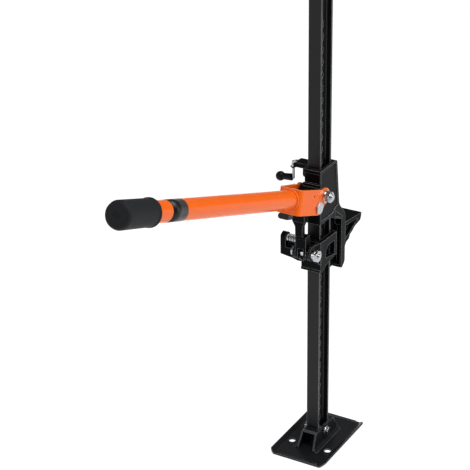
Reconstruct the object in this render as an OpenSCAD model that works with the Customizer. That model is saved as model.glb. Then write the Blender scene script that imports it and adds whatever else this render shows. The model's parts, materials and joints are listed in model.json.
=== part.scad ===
// High-lift farm jack: I-section standard on a base plate, a climbing runner with a lifting
// nose, a handle with its socket, the pitman link and the small runner, and two climbing pins.
// Origin: middle of the base plate's underside. +Z up the standard, +X towards the lifting
// nose, +Y towards the climbing pins and the reversing latch.

/* [Standard] */
// Length of the I-section standard
bar_length = 1219; // [1100:1:1300]
// Flange width of the standard, along Y
bar_width = 30; // [28:0.5:31]
// Depth of the standard over its flanges, along X
bar_depth = 52; // [50:0.5:53]
// Thickness of flanges and web
bar_wall = 5; // [4:0.5:6]
// Spacing of the climbing holes
hole_pitch = 28.575; // [28:0.005:29]
// Diameter of the climbing holes
hole_d = 17; // [16.6:0.1:18]
// Number of climbing holes
hole_count = 36; // [34:1:38]

/* [Base] */
// Length of the base plate, along X
base_length = 216; // [200:1:230]
// Width of the flat of the base plate, along Y
base_width = 121; // [110:1:130]
// Thickness of the base plate
base_wall = 4; // [3:0.5:5]
// Width that each long edge is turned out
rim_width = 12; // [8:0.5:14]
// Height that each long edge is turned up
rim_height = 9; // [6:0.5:12]

/* [Runner] */
// Height of the large runner's top above the floor, with the upper pin at hole 24
runner_top = 711; // [708:0.5:714]
// Half width of the large runner's body
runner_half = 22; // [21:0.5:23]
// Reach of the lifting nose from the middle of the standard
nose_reach = 160; // [150:1:170]
// Half width of the lifting nose at its tip
nose_half = 28; // [24:1:30]

/* [Handle] */
// Length of the handle from its pivot to the end of the grip
handle_reach = 783; // [700:1:820]
// Outside diameter of the handle tube
tube_d = 43; // [40:0.5:44]
// Angle of the handle above level, as stored
handle_angle = 19.6; // [18:0.1:22]
// Length of the rubber grip
grip_length = 111; // [90:1:130]

/* [Hidden] */

$fn = 48;
eps = 0.01;
root_r = 3;           // fillet between the web and each flange
slide_gap = 1.2;      // gap between the standard and what climbs it
run_gap = 0.05;       // radial clearance of every pin and bolt in its hole

bar_z0 = base_wall;
hole_z0 = 30.7;
upper_pin_z = hole_z0 + 23 * hole_pitch;
lower_pin_z = hole_z0 + 17 * hole_pitch;
half_depth = bar_depth / 2;
half_width = bar_width / 2;
slot_x = half_depth + slide_gap;
slot_y = half_width + slide_gap;

// large runner
front_x = -37;
back_x = 43;
front_z0 = 583;       // lower end of the part that wraps the standard
tail_z0 = 431;        // lower end of the guide behind the standard
tail_x = 87;
tail_front = 68;
nose_z = 537;

// handle pivot and linkage, in the plane of the standard's web
pivot_x = -36.4;
pivot_z = 656.3;
pivot_r = 7;
crank_u = 24;         // pitman bolt from the pivot, along the handle
crank_v = -25.5;      // and square to it
crank_r = 6;
socket_u = 108;       // front face of the socket, along the handle
tube_v = -11;         // handle axis below the pivot, square to the handle
cheek_top = 14.5;
cheek_bottom = -41.3;
cheek_in = 29;        // inner face of each cheek beside the pivot
cheek_wall = 5;
cheek_out = cheek_in + cheek_wall;
socket_half = 28.5;   // half width of the socket at its front plate
pitman_x = pivot_x - crank_u * cos(handle_angle) + crank_v * sin(handle_angle);
pitman_z = pivot_z + crank_u * sin(handle_angle) + crank_v * cos(handle_angle);
lower_x = -66;
lower_z = 522;
lower_r = 6;

// small runner
small_half = 25;
small_z0 = 466;
small_z1 = 540;
small_front = -37;
small_back = 34;
ear_r = 14;

// climbing pins
pin_r = 8;
pin_tip = bar_wall / 2 + 2;   // tip of a withdrawn pin, just clear of the web
ear_reach = 66;
lug_y = 79;
lug_wall = 13;

function arc(cx, cz, r, a0, a1, n) =
    [for (i = [0:n]) [cx + r * cos(a0 + (a1 - a0) * i / n), cz + r * sin(a0 + (a1 - a0) * i / n)]];

// ---------- helpers ----------

module box(lo, hi) {
    translate(lo) cube(hi - lo);
}

// An outline in (x, z), drawn out along Y from y0 to y1
module slab(y0, y1) {
    translate([0, y1, 0]) rotate([90, 0, 0]) linear_extrude(y1 - y0) children();
}

// A round bar along Y
module rod_y(x, z, r, y0, y1, sides = 48) {
    translate([x, y1, z]) rotate([90, 0, 0]) cylinder(h = y1 - y0, r = r, $fn = sides);
}

// A hexagon head or nut along Y, with chamfered outer corners
module hex_y(x, z, flats, y0, y1) {
    corner = flats / 2 / cos(30);
    intersection() {
        translate([x, y1, z]) rotate([90, 0, 0])
            rotate([0, 0, 30]) cylinder(h = y1 - y0, r = corner, $fn = 6);
        translate([x, (y0 + y1) / 2, z]) rotate([90, 0, 0])
            rotate_extrude($fn = 48) polygon([
                [0, -(y1 - y0) / 2], [flats / 2, -(y1 - y0) / 2],
                [corner + 1, -(y1 - y0) / 2 + 1.8], [corner + 1, (y1 - y0) / 2 - 1.8],
                [flats / 2, (y1 - y0) / 2], [0, (y1 - y0) / 2]]);
    }
}

// A ring along Y
module ring_y(x, z, r_out, r_in, y0, y1) {
    difference() {
        rod_y(x, z, r_out, y0, y1);
        rod_y(x, z, r_in, y0 - 1, y1 + 1);
    }
}

// A coil spring along Y, drawn as its closed turns
module coil_y(x, z, r, wire, y0, y1, turns) {
    for (i = [0:turns - 1])
        translate([x, y0 + wire / 2 + i * (y1 - y0 - wire) / (turns - 1), z])
            rotate([90, 0, 0]) rotate_extrude($fn = 48)
                translate([r, 0]) circle(d = wire, $fn = 16);
}

// Puts an outline in (u, v) about the pivot, with u along the handle, into (x, z)
module along_handle() {
    translate([pivot_x, 0, pivot_z]) rotate([0, handle_angle, 0]) mirror([1, 0, 0]) children();
}

// The space that the standard needs inside a part that climbs it
module bar_space(z0, z1) {
    box([-slot_x, -slot_y, z0], [slot_x, slot_y, z1]);
}

// ---------- standard and base ----------

module bar() {
    color("#1b1c1e") difference() {
        translate([0, 0, bar_z0]) linear_extrude(bar_length)
            difference() {
                square([bar_depth, bar_width], center = true);
                // channel on each side, with a rolled fillet where the web meets the flanges
                for (side = [0, 1]) mirror([0, side])
                    polygon(concat(
                        [[-half_depth + bar_wall, half_width + 1]],
                        arc(-half_depth + bar_wall + root_r, bar_wall / 2 + root_r, root_r, 180, 270, 4),
                        arc(half_depth - bar_wall - root_r, bar_wall / 2 + root_r, root_r, 270, 360, 4),
                        [[half_depth - bar_wall, half_width + 1]]));
            }
        for (i = [0:hole_count - 1])
            rod_y(0, hole_z0 + i * hole_pitch, hole_d / 2, -bar_wall, bar_wall);
        rod_y(0, top_bolt_z, 6 + run_gap, -bar_wall, bar_wall);
    }
}

module base_plate() {
    half_l = base_length / 2;
    half_w = base_width / 2;
    corner = 14;
    color("#232426") difference() {
        union() {
            linear_extrude(base_wall) difference() {
                square([base_length, base_width], center = true);
            }
            for (side = [-1, 1])
                translate([-half_l, 0, 0]) rotate([90, 0, 90]) linear_extrude(base_length)
                    polygon([
                        [side * (half_w - 0.5), 0], [side * half_w, 0],
                        [side * (half_w + rim_width), rim_height],
                        [side * (half_w + rim_width - 2), rim_height + base_wall * 0.7],
                        [side * (half_w - 2), base_wall], [side * (half_w - 2.5), base_wall]]);
            for (end = [-1, 1])
                box([end * (half_l - 3) - 3, -half_w + 10, base_wall - eps],
                    [end * (half_l - 3) + 3, half_w - 10, base_wall + 1.6]);
        }
        for (y = [-1, 1])
            translate([-39, y * 47, -1]) cylinder(h = 12, d = 16);
        for (x = [-1, 1], y = [-1, 1]) {
            translate([x * (half_l - corner), y * (half_w + rim_width - corner), -1])
                difference() {
                    translate([x > 0 ? 0 : -corner - 1, y > 0 ? 0 : -corner - 1, 0])
                        cube([corner + 1, corner + 1, 20]);
                    translate([0, 0, -1]) cylinder(h = 30, r = corner);
                }
        }
    }
}

module base_saddle() {
    wall = 3.5;
    top = 45;
    out_low = 22;
    out_top = 19;
    color("#202123") difference() {
        intersection() {
            translate([-70, 0, base_wall]) rotate([90, 0, 90]) linear_extrude(140)
                polygon(concat(
                    [[-out_low - 9, 0], [-out_low - 9, 0.8]],
                    arc(-out_low - 8, 9.2, 8.4, 278, 355, 6),
                    [[-out_top, top - 7]],
                    arc(-out_top + 4, top - base_wall - 4, 4, 170, 90, 4),
                    arc(out_top - 4, top - base_wall - 4, 4, 90, 10, 4),
                    [[out_top, top - 7]],
                    arc(out_low + 8, 9.2, 8.4, 185, 262, 6),
                    [[out_low + 9, 0.8], [out_low + 9, 0], [out_low - wall, 0],
                     [out_top - wall, top - 9], [-out_top + wall, top - 9],
                     [-out_low + wall, 0]]));
            slab(-60, 60) polygon([
                [-62, base_wall - 1], [-62, base_wall + 3], [-40, top + 1],
                [42, top + 1], [62, base_wall + 3], [62, base_wall - 1]]);
        }
        box([-half_depth - 0.4, -half_width - 0.4, 0], [half_depth + 0.4, half_width + 0.4, 60]);
        rod_y(0, hole_z0, 6.5, -40, 40);
    }
}

module base_bolt() {
    color("#d5d7da") union() {
        rod_y(0, hole_z0, 6, -26, 30);
        ring_y(0, hole_z0, 12, 5.5, -23.8, -21.6);
        hex_y(0, hole_z0, 19, -31, -23.8);
    }
}

module base_nut() {
    color("#d5d7da") difference() {
        union() {
            hex_y(0, hole_z0, 19, 22.4, 30);
            rod_y(0, hole_z0, 12, 21.6, 23.4);
        }
        rod_y(0, hole_z0, 6 + run_gap, 20, 40);
    }
}

// ---------- top clamp ----------

top_z0 = bar_z0 + bar_length - 62;
top_z1 = bar_z0 + bar_length - 6;
top_bolt_z = (top_z0 + top_z1) / 2;

module top_clevis() {
    color("#26272a") difference() {
        union() {
            box([-half_depth - 9, -half_width - 7, top_z0],
                [half_depth + 9, half_width + 7, top_z1]);
            for (side = [-1, 1])
                slab(side > 0 ? half_width - 1 : -half_width - 7,
                     side > 0 ? half_width + 7 : -half_width + 1)
                    difference() {
                        union() {
                            translate([half_depth, top_z0 + 6])
                                square([34, top_z1 - top_z0 - 12]);
                            translate([half_depth + 34, top_bolt_z])
                                circle(r = (top_z1 - top_z0 - 12) / 2);
                        }
                    }
        }
        box([-half_depth - 0.3, -half_width - 0.3, top_z0 - 1],
            [half_depth + 0.3, half_width + 0.3, top_z1 + 1]);
        box([half_depth + 9, -half_width + 1, top_z0 - 1],
            [half_depth + 80, half_width - 1, top_z1 + 1]);
        rod_y(half_depth + 34, top_bolt_z, 8.5, -40, 40);
        rod_y(0, top_bolt_z, 6 + run_gap, -40, 40);
    }
}

module top_clevis_bolt() {
    color("#d5d7da") union() {
        rod_y(0, top_bolt_z, 6, -28, 34);
        hex_y(0, top_bolt_z, 19, -30, -22);
    }
}

module top_clevis_nut() {
    color("#d5d7da") difference() {
        hex_y(0, top_bolt_z, 19, 22, 32);
        rod_y(0, top_bolt_z, 6 + run_gap, 10, 40);
    }
}

// ---------- large runner ----------

// Side outline of the large runner's body and tail, in (x, z)
module runner_outline() {
    polygon(concat(
        [[front_x, front_z0], [front_x, runner_top], [back_x - 6, runner_top],
         [back_x - 1.5, runner_top - 1.5], [back_x, runner_top - 6], [55, 601], [59, 594],
         [82, 568], [tail_x, 556], [tail_x, tail_z0 + 13], [tail_x - 3, tail_z0 + 8]],
        [[tail_front + 6, tail_z0], [tail_front, tail_z0 + 1], [tail_front, 556]],
        [[17, 580], [slot_x - 12, front_z0]]));
}

// Side outline of the lifting nose, in (x, z)
module nose_outline() {
    polygon([[80, nose_z], [nose_reach - 1, nose_z], [nose_reach, nose_z - 1],
        [nose_reach - 1, nose_z - 8], [nose_reach - 6, nose_z - 16], [130, nose_z - 25],
        [121, nose_z - 33], [112, nose_z - 38], [108, nose_z - 47], [97, nose_z - 52],
        [tail_x, nose_z - 66], [80, nose_z - 66]]);
}

module large_runner() {
    color("#1e1f21") difference() {
        union() {
            difference() {
                slab(-runner_half, runner_half) runner_outline();
                // recess across the front, between the two lips
                box([front_x - 1, -19.8, 678], [front_x + 6, 30, 703]);
                // hollow face of the tail, towards the standard
                box([tail_front - 1, -18, tail_z0 + 7], [tail_x - 8, 18, 540]);
                // sunk panel between the body's edge and the slanting rib
                for (side = [-1, 1])
                    slab(side > 0 ? runner_half - 2.5 : -runner_half - 1,
                         side > 0 ? runner_half + 1 : -runner_half + 2.5)
                        polygon([[36, 590], [74, 560], [66, 561], [36, 574]]);
                // broad sunk panel inside a raised border, on each side
                for (side = [-1, 1])
                    slab(side > 0 ? runner_half - 1.6 : -runner_half - 1,
                         side > 0 ? runner_half + 1 : -runner_half + 1.6)
                        polygon([[front_x + 4, 590], [front_x + 4, runner_top - 4.5],
                            [back_x - 6.5, runner_top - 4.5], [back_x - 4.5, runner_top - 7],
                            [50.5, 600], [38, 597], [22, 588]]);
            }
            // nose, wider at its tip than at its root
            difference() {
                intersection() {
                    slab(-30, 30) nose_outline();
                    translate([0, 0, 460]) linear_extrude(90) polygon([
                        [80, -20], [95, -20], [nose_reach - 8, -nose_half],
                        [nose_reach + 1, -nose_half + 1], [nose_reach + 1, nose_half - 1],
                        [nose_reach - 8, nose_half], [95, 20], [80, 20]]);
                }
                for (side = [-1, 1])
                    slab(side > 0 ? 11 : -31, side > 0 ? 31 : -11)
                        polygon([[93, nose_z - 9], [146, nose_z - 9], [128, nose_z - 19],
                            [113, nose_z - 31], [93, nose_z - 42]]);
            }
            // rib that runs on the standard's back flange
            box([slot_x - 1, -5, tail_z0 + 8], [tail_front + 12, 5, 578]);
            box([slot_x - 1, -11, tail_z0 + 8], [slot_x + 7, 11, tail_z0 + 24]);
            // bosses that carry the handle's pivot bolt
            rod_y(pivot_x, pivot_z, 14.5, -cheek_in + 1, cheek_in - 1);
            // boss for the upper climbing pin
            rod_y(0, upper_pin_z, 13, runner_half - 3, 35);
            box([-15, runner_half - 2, runner_top - 11], [13, ear_reach - 14, runner_top]);
            // ear that carries the reversing latch
            translate([-15, 0, 0])
                rotate([90, 0, 90]) linear_extrude(28) polygon([
                    [ear_reach - 16, runner_top], [ear_reach - 12, runner_top - 1],
                    [ear_reach, runner_top - 12], [ear_reach - 7, runner_top - 16],
                    [ear_reach - 16, runner_top - 11]]);
        }
        bar_space(300, 800);
        rod_y(pivot_x, pivot_z, pivot_r + run_gap, -60, 60);
        rod_y(0, upper_pin_z, pin_r + run_gap, 0, 60);
        // slot and hole for the latch's lever and its pivot pin
        box([-4.2, ear_reach - 15, runner_top - 20], [4.2, ear_reach + 5, runner_top + 1]);
        translate([-20, ear_reach - 7, runner_top - 8]) rotate([0, 90, 0])
            cylinder(h = 40, r = 3 + run_gap);
    }
}

module pivot_bolt() {
    color("#d5d7da") union() {
        rod_y(pivot_x, pivot_z, pivot_r - 0.6, -52.6, 44);
        rod_y(pivot_x, pivot_z, pivot_r, -50.2, 44);
        hex_y(pivot_x, pivot_z, 24, cheek_out + 2.6, 45.6);
    }
}

module pivot_nut() {
    color("#d5d7da") difference() {
        union() {
            hex_y(pivot_x, pivot_z, 24, -48, -cheek_out - 4.4);
            rod_y(pivot_x, pivot_z, 10.2, -50, -47);
        }
        rod_y(pivot_x, pivot_z, pivot_r + run_gap, -60, -30);
    }
}

module pivot_washers() {
    color("#d5d7da") union() {
        ring_y(pivot_x, pivot_z, 13.5, pivot_r + 0.2, cheek_out + 0.2, cheek_out + 2.6);
        ring_y(pivot_x, pivot_z, 14, pivot_r + 0.2, -cheek_out - 2.4, -cheek_out - 0.2);
        ring_y(pivot_x, pivot_z, 12.5, pivot_r + 0.2, -cheek_out - 4.4, -cheek_out - 2.4);
    }
}

// ---------- upper climbing pin ----------

module upper_climbing_pin() {
    color("#c9ccd0") union() {
        rod_y(0, upper_pin_z, pin_r, pin_tip, 18);
        rod_y(0, upper_pin_z, 4.2, 17, 34.8);
    }
}

module upper_pin_spring() {
    color("#c9ccd0") coil_y(0, upper_pin_z, 6, 1.6, 18.2, 31.8, 6);
}

module upper_pin_cap() {
    color("#2a2b2e") ring_y(0, upper_pin_z, pin_r, 4.6, 32, 35);
}

// ---------- reversing latch ----------

latch_y = ear_reach - 7;
latch_z = runner_top - 8;
grip_z = 667;
grip_droop = 6;
rod_y_off = 5.7;     // the lever's drop rod, out from the latch's pivot
latch_drop = latch_z - grip_z;

module latch_pivot_pin() {
    color("#c9ccd0") translate([-16.5, latch_y, latch_z]) rotate([0, 90, 0])
        cylinder(h = 31, r = 3);
}

module latch_lever() {
    color("#dfe1e4") difference() {
        union() {
            translate([-3.6, latch_y, latch_z]) rotate([0, 90, 0]) cylinder(h = 7.2, r = 6.5);
            translate([-3.6, latch_y, latch_z - 4]) cube([7.2, 8.5, 8]);
            translate([0, latch_y + rod_y_off, grip_z]) cylinder(h = latch_drop, r = 3);
            translate([0, latch_y + rod_y_off, grip_z]) sphere(r = 3.4);
            translate([0, latch_y + rod_y_off, grip_z]) rotate([-90 - grip_droop, 0, 0])
                cylinder(h = 30, r = 3);
        }
        translate([-8, latch_y, latch_z]) rotate([0, 90, 0])
            cylinder(h = 16, r = 3 + run_gap);
    }
}

module latch_grip() {
    color("#17181a") translate([0, latch_y + rod_y_off, grip_z]) rotate([-90 - grip_droop, 0, 0])
        difference() {
            rotate_extrude() polygon(concat(
                [[0, 2.5], [7, 2.5], [8.2, 4], [7.6, 16], [7.4, 24]],
                [for (a = [-42:12:90]) [11 * cos(a), 33 + 11 * sin(a)]],
                [[0, 44]]));
            translate([0, 0, -1]) cylinder(h = 31.1, r = 3 + run_gap);
        }
}

// ---------- handle ----------

// Side outline of the socket's cheeks, in (u, v)
module cheek_outline() {
    union() {
        hull() {
            circle(r = cheek_top, $fn = 32);
            translate([crank_u - 3, crank_v]) circle(r = crank_v - cheek_bottom, $fn = 32);
            translate([socket_u - 8, cheek_bottom]) square([8, cheek_top - cheek_bottom]);
        }
        circle(r = 18.5);
    }
}

// Plan outline of the bent plate, in (u, y): a U with rounded corners, grown by more
module socket_plan(more) {
    corner = 6 + more;
    polygon(concat(
        [[-30, -cheek_in - more], [30, -cheek_in - more]],
        arc(socket_u - 5 + more - corner, -socket_half + 5 - more + corner, corner, -86, 0, 6),
        arc(socket_u - 5 + more - corner, socket_half - 5 + more - corner, corner, 0, 86, 6),
        [[30, cheek_in + more], [-30, cheek_in + more]]));
}

module handle_socket() {
    color("#f2691d") along_handle() difference() {
        intersection() {
            translate([0, 60, 0]) rotate([90, 0, 0]) linear_extrude(120) cheek_outline();
            translate([0, 0, -60]) linear_extrude(120) difference() {
                socket_plan(cheek_wall);
                socket_plan(0);
                translate([-40, -20]) square([50, 40]);
            }
        }
        translate([0, 60, 0]) rotate([90, 0, 0]) cylinder(h = 120, r = pivot_r + run_gap);
        translate([crank_u, 60, crank_v]) rotate([90, 0, 0])
            cylinder(h = 120, r = crank_r + run_gap);
        translate([50, 60, 0]) rotate([90, 0, 0]) cylinder(h = 120, r = 3);
        translate([socket_u - 10, 0, tube_v]) rotate([0, 90, 0])
            cylinder(h = 20, r = tube_d / 2 + run_gap);
    }
}

module handle_tube() {
    color("#f2691d") along_handle() translate([socket_u - 6, 0, tube_v]) rotate([0, 90, 0])
        difference() {
            cylinder(h = handle_reach - socket_u, r = tube_d / 2, $fn = 64);
            translate([0, 0, -1])
                cylinder(h = handle_reach - socket_u + 2, r = tube_d / 2 - 3, $fn = 64);
        }
}

module handle_grip() {
    grip_r = 28.3;
    color("#2b2c2f") along_handle()
        translate([handle_reach - grip_length, 0, tube_v]) rotate([0, 90, 0])
            rotate_extrude($fn = 64) polygon([
                [tube_d / 2 + 0.05, 0], [grip_r - 1, 0], [grip_r, 1.5], [grip_r, 5],
                [grip_r - 1.4, 8], [grip_r - 0.7, grip_length - 8], [grip_r - 3, grip_length - 2],
                [grip_r - 6, grip_length], [8, grip_length], [6, grip_length - 2],
                [0, grip_length - 2], [0, grip_length - 5.9],
                [tube_d / 2 + 0.05, grip_length - 5.9]]);
}

module handle_clip() {
    color("#6d7074") along_handle() translate([socket_u - 20, 0, 0])
        rotate([90, 0, 90]) linear_extrude(19) polygon(concat(
            [[-6, cheek_bottom - 0.02]],
            arc(14, cheek_bottom - 6.52, 6.5, 90, -90, 8),
            [[-3, cheek_bottom - 13.02], [-6, cheek_bottom - 10]]));
}

module pitman_bolt() {
    color("#d5d7da") union() {
        rod_y(pitman_x, pitman_z, crank_r, -35, 44);
        hex_y(pitman_x, pitman_z, 25, -38.4, -cheek_out - 0.2);
    }
}

module pitman_nut() {
    color("#d5d7da") difference() {
        union() {
            hex_y(pitman_x, pitman_z, 22, cheek_out + 1.6, 46);
            rod_y(pitman_x, pitman_z, 12, cheek_out + 0.2, cheek_out + 2.6);
        }
        rod_y(pitman_x, pitman_z, crank_r + run_gap, 30, 60);
    }
}

module pitman() {
    color("#1c1d1f") difference() {
        union() {
            rod_y(pitman_x, pitman_z, 12, -28, 28);
            slab(-3, 28) polygon([
                [pitman_x - 12, pitman_z], [pitman_x + 10, pitman_z - 5],
                [pitman_x + 8, 600], [pitman_x - 8, 600]]);
            translate([pitman_x - 7.5, 0, 0]) rotate([90, 0, 90]) linear_extrude(13)
                polygon([[-3, 602], [28, 602], [27, 598], [21, 588], [20, 556], [3, 556],
                    [3, 588], [0, 594]]);
            slab(-7, 18) polygon([
                [lower_x - 9, 565], [lower_x + 6, 567], [lower_x + 9, 560], [lower_x + 9, 536],
                [lower_x - 11, 536], [lower_x - 12, 560]]);
            for (y = [-7, 12.5])
                slab(y, y + 5.5) hull() {
                    translate([lower_x - 1.4, lower_z - 0.8]) circle(r = 12.5, $fn = 32);
                    translate([lower_x - 11, 536]) square([20, 4]);
                }
        }
        rod_y(pitman_x, pitman_z, crank_r + run_gap, -40, 40);
        // worn-out hole, wide enough for the arc that the link's upper end follows
        slab(-30, 30) hull() for (dx = [-4.2, 0.5])
            translate([lower_x + dx, lower_z - 0.8]) circle(r = lower_r + 1.6, $fn = 32);
    }
}

// ---------- small runner ----------

module small_runner() {
    color("#2c2d30") difference() {
        union() {
            // sleeve round the standard, hooked behind its back flange
            translate([0, 0, small_z0]) linear_extrude(small_z1 - small_z0) polygon([
                [small_front, -small_half + 1], [small_back, -27], [small_back, small_half],
                [small_front, small_half]]);
            box([small_front - 2, -small_half + 1, small_z0],
                [small_front + 2, small_half, small_z0 + 6]);
            // two ears in front that hold the pitman
            for (side = [-1, 1])
                intersection() {
                    slab(-30, 30) union() {
                        translate([lower_x, lower_z]) circle(r = ear_r);
                        polygon([[lower_x - 4, lower_z + 13.4], [lower_x - 2, small_z1],
                            [small_front + 4, small_z1], [small_front + 4, 482],
                            [lower_x + 4, lower_z - 13.4]]);
                    }
                    translate([0, 0, 400]) linear_extrude(200) polygon([
                        [lower_x - 20, side * 11.5 + (side + 1) * 4.5],
                        [lower_x - 20, side * 16.5 + (side + 1) * 4.5],
                        [lower_x + 12, side * 17.5 + (side + 1) * 4.2],
                        [small_front + 4, side * 24.5], [small_front + 4, side * 18],
                        [lower_x + 12, side * 12 + (side + 1) * 4.2]]);
                }
            // bracket that carries the lower climbing pin
            rod_y(0, lower_pin_z, 14, small_half - 2, 37);
            translate([-12, 0, 0]) rotate([90, 0, 90]) linear_extrude(24) polygon([
                [small_half - 1, 470], [small_half - 1, 500], [lug_y, 495], [lug_y + lug_wall, 495],
                [lug_y + lug_wall, 477], [62, 473], [48, 469]]);
            box([2, small_half, 490], [9, lug_y + 4, 504]);
            slab(lug_y, lug_y + lug_wall) hull() {
                translate([0, lower_pin_z]) circle(r = 12, $fn = 32);
                translate([-12, 484]) square([24, 6]);
            }
        }
        bar_space(300, 800);
        // opening behind the back flange, for the large runner's rib
        box([slot_x - 1, -8, 300], [60, 8, 800]);
        // lower edges rise towards the back
        slab(-40, small_half - 1.01) polygon([
            [-29, 468], [6, 481], [small_back + 1, 484], [small_back + 1, 400], [-29, 400]]);
        rod_y(lower_x, lower_z, lower_r + run_gap, -60, 60);
        rod_y(0, lower_pin_z, pin_r + run_gap, 0, 60);
        rod_y(0, lower_pin_z, 5 + run_gap, 60, 120);
        // window beside the web
        slab(-40, -slot_y + 1) polygon([
            [-15, 494], [25, 487], [25, 520], [24, 522], [-3, 522], [-15, 508]]);
    }
}

module lower_bolt() {
    color("#d5d7da") union() {
        rod_y(lower_x, lower_z, lower_r - 0.6, -36.6, 30);
        rod_y(lower_x, lower_z, lower_r, -34.2, 30);
        hex_y(lower_x, lower_z, 19, 26.2, 31.5);
    }
}

module lower_nut() {
    color("#d5d7da") difference() {
        union() {
            rod_y(lower_x, lower_z, 9, -26, -17.5);
            rod_y(lower_x, lower_z, 13, -27.4, -25.6);
            hex_y(lower_x, lower_z, 25, -34, -27.2);
        }
        rod_y(lower_x, lower_z, lower_r + run_gap, -60, 0);
    }
}

// ---------- lower climbing pin ----------

module lower_climbing_pin() {
    color("#c9ccd0") union() {
        rod_y(0, lower_pin_z, pin_r, pin_tip, 50);
        rod_y(0, lower_pin_z, 5, 49, 96);
    }
}

module lower_cross_pin() {
    color("#c9ccd0") difference() {
        rod_y(0, lower_pin_z, 9, 50.05, 53);
        rod_y(0, lower_pin_z, 5, 40, 60);
    }
}

module lower_pin_spring() {
    color("#dfe1e4") coil_y(0, lower_pin_z, 8, 2.6, 53.2, lug_y - 0.2, 7);
}

bar();
base_plate();
base_saddle();
base_bolt();
base_nut();
top_clevis();
top_clevis_bolt();
top_clevis_nut();
large_runner();
pivot_bolt();
pivot_nut();
pivot_washers();
upper_climbing_pin();
upper_pin_spring();
upper_pin_cap();
latch_pivot_pin();
latch_lever();
latch_grip();
handle_socket();
handle_tube();
handle_grip();
handle_clip();
pitman_bolt();
pitman_nut();
pitman();
small_runner();
lower_bolt();
lower_nut();
lower_climbing_pin();
lower_cross_pin();
lower_pin_spring();
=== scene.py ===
"""Looks of the high-lift farm jack: finishes, welds, springs, threads, the label band, light and camera."""

import json
import math

import bmesh
import bpy
from mathutils import Euler, Matrix, Vector


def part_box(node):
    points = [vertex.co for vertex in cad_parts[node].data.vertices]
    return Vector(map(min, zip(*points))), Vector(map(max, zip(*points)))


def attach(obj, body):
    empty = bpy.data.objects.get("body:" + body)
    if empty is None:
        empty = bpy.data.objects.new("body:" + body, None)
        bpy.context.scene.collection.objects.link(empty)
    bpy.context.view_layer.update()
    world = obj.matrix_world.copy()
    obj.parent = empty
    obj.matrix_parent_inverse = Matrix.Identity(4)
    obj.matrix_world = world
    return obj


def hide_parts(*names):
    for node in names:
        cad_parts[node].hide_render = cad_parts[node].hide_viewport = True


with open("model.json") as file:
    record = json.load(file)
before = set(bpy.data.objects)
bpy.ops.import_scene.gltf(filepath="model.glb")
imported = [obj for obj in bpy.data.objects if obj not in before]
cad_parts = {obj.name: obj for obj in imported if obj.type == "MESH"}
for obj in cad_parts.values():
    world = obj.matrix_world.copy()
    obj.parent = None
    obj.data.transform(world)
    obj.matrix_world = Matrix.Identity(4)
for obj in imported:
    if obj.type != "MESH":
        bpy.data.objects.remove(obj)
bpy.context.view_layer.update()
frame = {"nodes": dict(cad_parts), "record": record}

MM = 0.001

# ---------- places, all in metres: the pivot taken from the frame, the others given ---

joints = {j["name"]: j for j in frame["record"]["behaviour"]["joints"]}
pivot = Vector(joints["handle_swing"]["pos_m"])
handle_angle = math.radians(19.6)
along = Vector((-math.cos(handle_angle), 0, math.sin(handle_angle)))    # from the pivot to the grip
square = Vector((math.sin(handle_angle), 0, math.cos(handle_angle)))    # up, square to the handle
side = Vector((0, 1, 0))                                                # towards the climbing pins
tube_drop = -11.0 * MM
tube_radius = 21.5 * MM


def on_handle(u, v):
    """A point u along the handle from its pivot and v above it, in metres."""
    return pivot + along * u + square * v


# ---------- camera ----------

view_turn = 59.4          # degrees that the view is turned from straight along +Y towards +X
view_tilt = 25.8          # degrees that it looks down
view_roll = 1.0           # degrees that it leans
view_distance = 3.5673    # metres
aim_height = 0.5428       # the view is centred this far above the floor
aim_right = 0.1879        # and the bar is this far to the right of the centre
lens_mm = 122.2315        # on a sensor 36 mm wide

turn, tilt = math.radians(view_turn), math.radians(view_tilt)
forward = Vector((math.sin(turn) * math.cos(tilt), math.cos(turn) * math.cos(tilt), -math.sin(tilt)))
rightward = Vector((math.cos(turn), -math.sin(turn), 0))
camera_data = bpy.data.cameras.new("studio_camera")
camera_data.sensor_width = 36
camera_data.lens = lens_mm
camera_data.clip_start, camera_data.clip_end = 0.1, 60
camera = bpy.data.objects.new("studio_camera", camera_data)
bpy.context.collection.objects.link(camera)
level = Euler((math.pi / 2 - tilt, 0, -turn)).to_matrix()
facing = level @ Matrix.Rotation(math.radians(-view_roll), 3, "Z")
camera.rotation_euler = facing.to_euler()
camera.location = Vector((0, 0, aim_height)) - forward * view_distance - rightward * aim_right
bpy.context.scene.camera = camera

# ---------- finishes ----------


def paint(code):
    """A linear colour from an sRGB hex code."""
    parts = [int(code[i:i + 2], 16) / 255 for i in (1, 3, 5)]
    return (*[c / 12.92 if c <= 0.04045 else ((c + 0.055) / 1.055) ** 2.4 for c in parts], 1.0)


def add(tree, kind, inputs=None, **settings):
    """Adds a node with its settings, and sets each input to a value or links it from a socket."""
    made = tree.nodes.new(kind)
    for name, value in settings.items():
        setattr(made, name, value)
    for name, value in (inputs or {}).items():
        if isinstance(value, bpy.types.NodeSocket):
            tree.links.new(value, made.inputs[name])
        else:
            made.inputs[name].default_value = value
    return made


def new_finish(name):
    """An empty finish: its tree, the place on the piece in metres, and the shader to fill in."""
    finish = bpy.data.materials.new(name)
    finish.use_nodes = True
    tree = finish.node_tree
    tree.nodes.clear()
    place = add(tree, "ShaderNodeTexCoord").outputs["Object"]
    shader = add(tree, "ShaderNodeBsdfPrincipled")
    add(tree, "ShaderNodeOutputMaterial", {"Surface": shader.outputs[0]})
    return finish, tree, place, shader


flat_match, edge_match = 0.995, 0.86    # how far the rounded direction agrees with the true one


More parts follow.
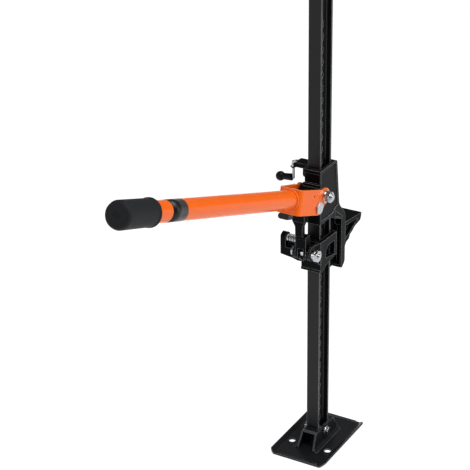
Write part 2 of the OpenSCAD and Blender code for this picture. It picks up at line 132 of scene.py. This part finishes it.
def rounded_edges_with_highlight(tree, radius):
    """Rounds the shading of edges over radius, and marks them from 0 on the flat to 1 on the edge; the
    finishes mix a pale colour in over this mark as a painted highlight.
    """
    soft = add(tree, "ShaderNodeBevel", {"Radius": radius}, samples=8)
    true = add(tree, "ShaderNodeNewGeometry")
    match = add(tree, "ShaderNodeVectorMath", {0: soft.outputs[0], 1: true.outputs["Normal"]},
                operation="DOT_PRODUCT")
    mark = add(tree, "ShaderNodeMapRange", {"Value": match.outputs["Value"], "From Min": flat_match,
               "From Max": edge_match, "To Min": 0.0, "To Max": 1.0})
    return soft.outputs[0], mark.outputs[0]


def mixed(tree, share, a, b):
    """A colour between a and b by share."""
    return add(tree, "ShaderNodeMix", {"Factor": share, "A": a, "B": b}, data_type="RGBA").outputs["Result"]


def coated_steel(name, dark, light, edge, peel_mm, rough, edge_mm, coat=0.0, peel=0.12, sheen=0.5):
    """Sprayed coat on steel: mottled between dark and light over some 40 mm, with fine orange peel
    of peel_mm, rounded edges with a highlight painted on in the edge colour, and a little unevenness in its
    gloss."""
    finish, tree, place, shader = new_finish(name)
    cloud = add(tree, "ShaderNodeTexNoise", {"Vector": place, "Scale": 1000 / 40, "Detail": 4.0,
                "Roughness": 0.6})
    skin = add(tree, "ShaderNodeTexNoise", {"Vector": place, "Scale": 1000 / peel_mm, "Detail": 2.0})
    round_normal, edge_highlight = rounded_edges_with_highlight(tree, edge_mm * MM)
    body = mixed(tree, cloud.outputs["Fac"], paint(dark), paint(light))
    # The edge colour is mixed in over the edge mask as a painted highlight.
    tree.links.new(mixed(tree, edge_highlight, body, paint(edge)), shader.inputs["Base Color"])
    gloss = add(tree, "ShaderNodeMapRange", {"Value": cloud.outputs["Fac"], "From Min": 0.3, "From Max": 0.7,
                "To Min": rough - 0.05, "To Max": rough + 0.06})
    tree.links.new(gloss.outputs[0], shader.inputs["Roughness"])
    dimple = add(tree, "ShaderNodeBump", {"Strength": peel, "Distance": 0.0002,
                 "Height": skin.outputs["Fac"], "Normal": round_normal})
    tree.links.new(dimple.outputs[0], shader.inputs["Normal"])
    shader.inputs["IOR"].default_value = 1.5
    shader.inputs["Specular IOR Level"].default_value = sheen
    shader.inputs["Coat Weight"].default_value = coat
    shader.inputs["Coat Roughness"].default_value = 0.18
    return finish


def sand_casting(name, dark, light, edge, rough):
    """Ductile iron from a sand mould, sprayed black: the grains of the mould, 1.3 mm, and its unevenness,
    2.2 mm, show through the paint over broad hollows of 12 mm, and the edges carry a painted highlight in the
    edge colour."""
    finish, tree, place, shader = new_finish(name)
    grit = add(tree, "ShaderNodeTexVoronoi", {"Vector": place, "Scale": 1000 / 1.3, "Randomness": 1.0})
    sand = add(tree, "ShaderNodeTexNoise", {"Vector": place, "Scale": 1000 / 2.2, "Detail": 5.0,
               "Roughness": 0.65})
    hollow = add(tree, "ShaderNodeTexNoise", {"Vector": place, "Scale": 1000 / 12, "Detail": 2.0})
    round_normal, edge_highlight = rounded_edges_with_highlight(tree, 1.8 * MM)
    body = mixed(tree, sand.outputs["Fac"], paint(dark), paint(light))
    # The edge colour is mixed in over the edge mask as a painted highlight.
    tree.links.new(mixed(tree, edge_highlight, body, paint(edge)), shader.inputs["Base Color"])
    gloss = add(tree, "ShaderNodeMapRange", {"Value": sand.outputs["Fac"], "From Min": 0.3, "From Max": 0.7,
                "To Min": rough - 0.06, "To Max": rough + 0.10})
    tree.links.new(gloss.outputs[0], shader.inputs["Roughness"])
    broad = add(tree, "ShaderNodeBump", {"Strength": 0.25, "Distance": 0.0008,
                "Height": hollow.outputs["Fac"], "Normal": round_normal})
    coarse = add(tree, "ShaderNodeBump", {"Strength": 0.35, "Distance": 0.0003,
                 "Height": sand.outputs["Fac"], "Normal": broad.outputs[0]})
    pits = add(tree, "ShaderNodeBump", {"Strength": 0.15, "Distance": 0.0002,
               "Height": grit.outputs["Distance"], "Normal": coarse.outputs[0]})
    tree.links.new(pits.outputs[0], shader.inputs["Normal"])
    shader.inputs["IOR"].default_value = 1.2
    shader.inputs["Specular IOR Level"].default_value = 0.2
    return finish


def plated_steel(name, light, dark, rough, grain, grain_mm=0.35):
    """Bare or zinc-plated steel: fine marks of grain_mm, drawn out where grain is small, under a faint
    cloudy bloom of 6 mm, with a bright highlight painted on its edges."""
    finish, tree, place, shader = new_finish(name)
    stretch = add(tree, "ShaderNodeMapping", {"Vector": place, "Scale": grain})
    lines = add(tree, "ShaderNodeTexNoise", {"Vector": stretch.outputs[0], "Scale": 1000 / grain_mm,
                "Detail": 2.0})
    bloom = add(tree, "ShaderNodeTexNoise", {"Vector": place, "Scale": 1000 / 6, "Detail": 3.0})
    round_normal, edge_highlight = rounded_edges_with_highlight(tree, 0.6 * MM)
    body = mixed(tree, bloom.outputs["Fac"], paint(dark), paint(light))
    # The near-white edge colour is a painted highlight over the edge mask.
    tree.links.new(mixed(tree, edge_highlight, body, paint("#f2f3f4")), shader.inputs["Base Color"])
    gloss = add(tree, "ShaderNodeMapRange", {"Value": bloom.outputs["Fac"], "From Min": 0.3, "From Max": 0.7,
                "To Min": max(rough - 0.06, 0.05), "To Max": rough + 0.08})
    tree.links.new(gloss.outputs[0], shader.inputs["Roughness"])
    scratch = add(tree, "ShaderNodeBump", {"Strength": 0.12, "Distance": 0.0001,
                  "Height": lines.outputs["Fac"], "Normal": round_normal})
    tree.links.new(scratch.outputs[0], shader.inputs["Normal"])
    shader.inputs["Metallic"].default_value = 1.0
    return finish


def moulded_rubber(name, dark, light, grain_mm, rough):
    """Moulded rubber: a dull skin, pebbled every grain_mm, that is paler in scuffs of some 9 mm, and whose
    edges are painted in the light colour as a highlight.
    """
    finish, tree, place, shader = new_finish(name)
    pebble = add(tree, "ShaderNodeTexVoronoi", {"Vector": place, "Scale": 1000 / grain_mm, "Randomness": 1.0},
                 feature="SMOOTH_F1")
    scuff = add(tree, "ShaderNodeTexNoise", {"Vector": place, "Scale": 1000 / 9, "Detail": 5.0,
                "Roughness": 0.7})
    round_normal, edge_highlight = rounded_edges_with_highlight(tree, 1.6 * MM)
    body = mixed(tree, scuff.outputs["Fac"], paint(dark), paint(light))
    # The light colour on the edges is a painted highlight over the edge mask.
    tree.links.new(mixed(tree, edge_highlight, body, paint(light)), shader.inputs["Base Color"])
    gloss = add(tree, "ShaderNodeMapRange", {"Value": scuff.outputs["Fac"], "From Min": 0.3, "From Max": 0.7,
                "To Min": rough - 0.05, "To Max": rough + 0.07})
    tree.links.new(gloss.outputs[0], shader.inputs["Roughness"])
    grain = add(tree, "ShaderNodeBump", {"Strength": 0.4, "Distance": 0.0003,
                "Height": pebble.outputs["Distance"], "Normal": round_normal})
    tree.links.new(grain.outputs[0], shader.inputs["Normal"])
    shader.inputs["IOR"].default_value = 1.4
    shader.inputs["Specular IOR Level"].default_value = 0.2
    return finish


# Satin black powder coat on rolled steel: deep black faces with a soft sheen and pale thin edges painted on
# as highlights.
black_rail = coated_steel("satin black powder coat on rolled steel", "#0b0b0c", "#121314", "#94969a",
                          0.9, 0.36, edge_mm=1.5, sheen=0.25)
# The same coat on pressed plate, a little glossier, so the plate mirrors the sky along its bends.
black_plate = coated_steel("black powder coat on pressed plate", "#151618", "#1e1f21", "#7c7e82", 1.2, 0.26,
                           edge_mm=1.6, sheen=0.30)
# Orange powder coat: strong even orange, satin-glossy, with a lighter orange painted on its edges as a
# highlight.
orange_coat = coated_steel("orange powder coat on welded steel", "#ea6008", "#f0680e", "#ff9c4c", 0.8, 0.24,
                           edge_mm=1.5, peel=0.05, sheen=0.22)
# Black sprayed castings for the two runners, the top clamp and the pin's cap: dull black with a fine tooth.
black_casting = sand_casting("black sprayed sand casting", "#070708", "#0d0e0f", "#7c7e82", 0.36)
# The link is a forging under the same spray, a shade darker and smoother than the castings.
black_forging = sand_casting("black sprayed forging", "#060607", "#0c0c0d", "#74767a", 0.34)
# Bright zinc on bolts and nuts: nearly mirror bright, cloudy in patches, marked along the bolt.
bright_zinc = plated_steel("bright zinc plate on bolts", "#c9ccd0", "#8d9298", 0.17, (1, 0.08, 1))
# Ground pins: even grey steel with lines round the pin.
ground_pin = plated_steel("ground steel pin", "#c4c7cb", "#8f9499", 0.28, (1, 6, 1), 0.5)
# Spring wire: drawn bright. Its marks are too fine to show, so they are an even mottle of 0.4 mm.
spring_wire = plated_steel("drawn spring wire", "#e4e6e8", "#a8adb2", 0.22, (1, 1, 1), 0.4)
# The clip under the socket is blackened, with a grey highlight painted on its corners.
blackened_strip = coated_steel("black oxide on formed strip", "#0d0d0f", "#151618", "#6c6e72", 0.7, 0.38,
                               edge_mm=0.9, sheen=0.25)
# Grip of moulded black rubber, paler in scuffs and with a highlight painted on its edges, and the darker,
# smoother one on the latch.
grip_rubber = moulded_rubber("moulded grip rubber", "#17181a", "#232426", 1.6, 0.60)
latch_rubber = moulded_rubber("moulded latch grip", "#070708", "#101012", 1.2, 0.38)
# Vinyl band on the tube: smooth black film with a soft gloss.
vinyl_band = coated_steel("black vinyl band", "#0c0c0e", "#141416", "#1d1e20", 2.5, 0.34,
                          edge_mm=0.2, peel=0.04, sheen=0.3)
# Weld bead under the orange coat: the same orange, rougher and a little uneven.
orange_weld = coated_steel("orange coat over a weld bead", "#e65e0a", "#ee6810", "#fb8f42", 1.6, 0.36,
                           edge_mm=0.8, coat=0.2, peel=0.3)

wearing = {
    "bar": black_rail, "base_plate": black_plate, "base_saddle": black_plate,
    "base_bolt": bright_zinc, "base_nut": bright_zinc,
    "top_clevis": black_casting, "top_clevis_bolt": bright_zinc, "top_clevis_nut": bright_zinc,
    "large_runner": black_casting, "pivot_bolt": bright_zinc, "pivot_nut": bright_zinc,
    "pivot_washers": bright_zinc, "upper_climbing_pin": ground_pin, "upper_pin_spring": spring_wire,
    "upper_pin_cap": black_casting, "latch_pivot_pin": ground_pin, "latch_lever": bright_zinc,
    "latch_grip": latch_rubber, "handle_socket": orange_coat, "handle_tube": orange_coat,
    "handle_grip": grip_rubber, "handle_clip": blackened_strip, "pitman_bolt": bright_zinc,
    "pitman_nut": bright_zinc, "pitman": black_forging, "small_runner": black_casting,
    "lower_bolt": bright_zinc, "lower_nut": bright_zinc, "lower_climbing_pin": ground_pin,
    "lower_cross_pin": ground_pin, "lower_pin_spring": spring_wire,
}
for name, piece in frame["nodes"].items():
    piece.data.materials.clear()
    piece.data.materials.append(wearing[name])

# ---------- pieces that the frame leaves out ----------


def to_object(name, mesh, finish, body):
    """Turns a mesh into a piece of the model that rides on body."""
    piece = bpy.data.objects.new(name, mesh)
    bpy.context.collection.objects.link(piece)
    mesh.materials.clear()
    mesh.materials.append(finish)
    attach(piece, body)
    return piece


def point_outwards(mesh):
    """Turns the faces of a closed mesh to point outwards."""
    shape = bmesh.new()
    shape.from_mesh(mesh)
    bmesh.ops.recalc_face_normals(shape, faces=shape.faces)
    shape.to_mesh(mesh)
    shape.free()


def sweep(name, rail, wire, finish, sides):
    """A wire of radius wire along rail, a list of points, as one plain mesh made with Geometry Nodes."""
    line = bpy.data.meshes.new(name + "_rail")
    line.from_pydata([tuple(p) for p in rail], [(i, i + 1) for i in range(len(rail) - 1)], [])
    carrier = bpy.data.objects.new(name + "_rail", line)
    bpy.context.collection.objects.link(carrier)
    group = bpy.data.node_groups.new(name + "_sweep", "GeometryNodeTree")
    group.interface.new_socket("Rail", in_out="INPUT", socket_type="NodeSocketGeometry")
    wire_input = group.interface.new_socket("Wire radius", in_out="INPUT", socket_type="NodeSocketFloat")
    sides_input = group.interface.new_socket("Sides", in_out="INPUT", socket_type="NodeSocketInt")
    group.interface.new_socket("Swept", in_out="OUTPUT", socket_type="NodeSocketGeometry")
    given = group.nodes.new("NodeGroupInput").outputs
    curve = add(group, "GeometryNodeMeshToCurve", {"Mesh": given["Rail"]}).outputs[0]
    ring = add(group, "GeometryNodeCurvePrimitiveCircle", {"Radius": given["Wire radius"],
               "Resolution": given["Sides"]}).outputs[0]
    tube = add(group, "GeometryNodeCurveToMesh", {"Curve": curve, "Profile Curve": ring,
               "Fill Caps": True}).outputs[0]
    whole = add(group, "GeometryNodeRealizeInstances", {"Geometry": tube}).outputs[0]
    dressed = add(group, "GeometryNodeSetMaterial", {"Geometry": whole, "Material": finish}).outputs[0]
    add(group, "NodeGroupOutput", {"Swept": dressed})
    maker = carrier.modifiers.new("sweep", "NODES")
    maker.node_group = group
    maker[wire_input.identifier] = wire
    maker[sides_input.identifier] = sides
    baked = bpy.data.meshes.new_from_object(carrier.evaluated_get(bpy.context.evaluated_depsgraph_get()))
    bpy.data.objects.remove(carrier)
    point_outwards(baked)
    for face in baked.polygons:
        face.use_smooth = True
    return baked


def helix(middle, axis, radius, start, end, turns, flat=0.0, steps=28):
    """Points of a helix about axis through middle, from start to end along it, steps points a turn,
    with flat turns that don't climb at both ends."""
    axis = axis.normalized()
    one = axis.orthogonal().normalized()
    two = axis.cross(one)
    points = []
    count = int(turns * steps)
    for i in range(count + 1):
        turn = i / steps
        run = min(max((turn - flat) / (turns - 2 * flat), 0.0), 1.0)
        angle = 2 * math.pi * turn
        points.append(middle + axis * (start + (end - start) * run)
                      + one * (radius * math.cos(angle)) + two * (radius * math.sin(angle)))
    return points


def turned(name, middle, axis, outline, finish, body, sides):
    """A closed ring turned about axis through middle from an outline of (distance along axis, radius)
    points. Only its round walls are shaded smooth."""
    axis = axis.normalized()
    one = axis.orthogonal().normalized()
    two = axis.cross(one)
    mesh = bpy.data.meshes.new(name)
    points = [tuple(middle + axis * a + (one * math.cos(t) + two * math.sin(t)) * r)
              for t in (2 * math.pi * i / sides for i in range(sides)) for a, r in outline]
    n = len(outline)
    faces = [(i * n + k, i * n + (k + 1) % n, (i + 1) % sides * n + (k + 1) % n, (i + 1) % sides * n + k)
             for i in range(sides) for k in range(n)]
    mesh.from_pydata(points, [], faces)
    point_outwards(mesh)
    for index, face in enumerate(mesh.polygons):
        here, after = outline[index % n], outline[(index + 1) % n]
        face.use_smooth = abs(here[1] - after[1]) < 1e-6
    return to_object(name, mesh, finish, body)


# Springs: real helices in place of the frame's closed rings.
for name, node, body, wire, turns in (
        ("lower_spring_coil", "lower_pin_spring", "follower", 1.3 * MM, 7.0),
        ("upper_spring_coil", "upper_pin_spring", "carriage", 0.8 * MM, 6.0)):
    low_end, high_end = (Vector(v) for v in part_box(node))
    centre = (low_end + high_end) / 2
    reach = (high_end.z - low_end.z) / 2 - wire
    length = high_end.y - low_end.y - 2 * wire
    coil = helix(centre, side, reach, -length / 2, length / 2, turns, flat=0.9)
    piece = to_object(name, sweep(name, coil, wire, spring_wire, 12), spring_wire, body)
    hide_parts(node)

# Weld between the tube and the socket's front plate: a ring of 34 beads, one about every 4 mm.
socket_face = 108 * MM
weld_wire = 2.1 * MM
bead_swell = 0.35 * MM
bead_count = 34
weld_steps = 720
seam = []
for i in range(weld_steps):
    t = 2 * math.pi * i / weld_steps
    swell = bead_swell * abs(math.sin(t * bead_count / 2))
    r = tube_radius + 0.8 * MM + swell
    seam.append(on_handle(socket_face + 0.9 * MM + 0.4 * swell, tube_drop) + square * (r * math.cos(t))
                + side * (r * math.sin(t)))
seam.append(seam[0])
weld = sweep("socket_weld", seam, weld_wire, orange_weld, 10)
to_object("socket_weld", weld, orange_weld, "handle")

# Threads on the ends of the two long bolts, where they stand out of their nuts. The last 2.4 mm of each
# bolt is 0.6 mm thinner, and the ridge is wound on that, its middle at reach from the bolt's axis.
thread_start, thread_end = 0.5 * MM, 2.3 * MM     # from the bolt's tip
thread_turns = 1.8 / 1.5                          # 1.8 mm of thread at a pitch of 1.5 mm
thread_wire = 0.42 * MM
for name, bolt, body, reach in (("pivot_bolt_thread", "pivot_bolt", "carriage", 6.45 * MM),
                                ("lower_bolt_thread", "lower_bolt", "follower", 5.45 * MM)):
    bolt_low, bolt_high = (Vector(v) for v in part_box(bolt))
    tip = Vector(((bolt_low.x + bolt_high.x) / 2, bolt_low.y, (bolt_low.z + bolt_high.z) / 2))
    ridge = helix(tip, side, reach, thread_start, thread_end, thread_turns, steps=40)
    thread = sweep(name, ridge, thread_wire, bright_zinc, 8)
    to_object(name, thread, bright_zinc, body)

# Label band: thin black film round the tube, plain.
band_start, band_end = 567 * MM, 622 * MM
film_inside, film_outside = tube_radius + 0.02 * MM, tube_radius + 0.16 * MM
band = turned("label_band", on_handle(0, tube_drop), along,
              [(band_start, film_inside), (band_start, film_outside),
               (band_end, film_outside), (band_end, film_inside)],
              vinyl_band, "handle", 96)

# ---------- floor and light ----------

floor_half = 9.0
floor_z = -0.3 * MM      # just under the base plate
floor_mesh = bpy.data.meshes.new("studio_floor")
corners = ((-1, -1), (1, -1), (1, 1), (-1, 1))
floor_mesh.from_pydata([(x * floor_half, y * floor_half, floor_z) for x, y in corners], [], [(0, 1, 2, 3)])
floor = bpy.data.objects.new("studio_floor", floor_mesh)
bpy.context.collection.objects.link(floor)
floor_paint, _, _, shader = new_finish("white studio paper")
shader.inputs["Base Color"].default_value = paint("#8c8c8c")
shader.inputs["Roughness"].default_value = 0.9
shader.inputs["Emission Color"].default_value = (1, 1, 1, 1)
shader.inputs["Emission Strength"].default_value = 0.92
floor_mesh.materials.append(floor_paint)

# The camera sees a white room, while the object is lit by a much dimmer one, so its blacks stay deep.
world = bpy.data.worlds.new("studio")
world.use_nodes = True
tree = world.node_tree
tree.nodes.clear()
seen = add(tree, "ShaderNodeBackground", {"Color": (1, 1, 1, 1), "Strength": 1.0})
lit = add(tree, "ShaderNodeBackground", {"Color": (1, 1, 1, 1), "Strength": 0.18})
ray = add(tree, "ShaderNodeLightPath")
choice = add(tree, "ShaderNodeMixShader", {0: ray.outputs["Is Camera Ray"], 1: lit.outputs[0],
             2: seen.outputs[0]})
add(tree, "ShaderNodeOutputWorld", {"Surface": choice.outputs[0]})
bpy.context.scene.world = world


def soft_box(name, place, aim, wide, high, watts):
    """A rectangular studio lamp at place, facing aim, wide and high in metres."""
    lamp = bpy.data.lights.new(name, "AREA")
    lamp.shape, lamp.size, lamp.size_y, lamp.energy = "RECTANGLE", wide, high, watts
    stand = bpy.data.objects.new(name, lamp)
    bpy.context.collection.objects.link(stand)
    stand.location = place
    stand.rotation_euler = (Vector(aim) - Vector(place)).to_track_quat("-Z", "Y").to_euler()


soft_box("overhead", (-0.2, -0.9, 3.3), (0, 0, 0.5), 1.8, 1.8, 66)
soft_box("left_front", (-2.8, 1.2, 1.9), (-0.2, 0, 0.6), 0.9, 2.4, 15)
soft_box("right_front", (0.8, -2.8, 1.5), (0, 0, 0.6), 0.5, 2.6, 24)

scene = bpy.context.scene
scene.view_settings.view_transform = "Standard"
scene.view_settings.look = "None"
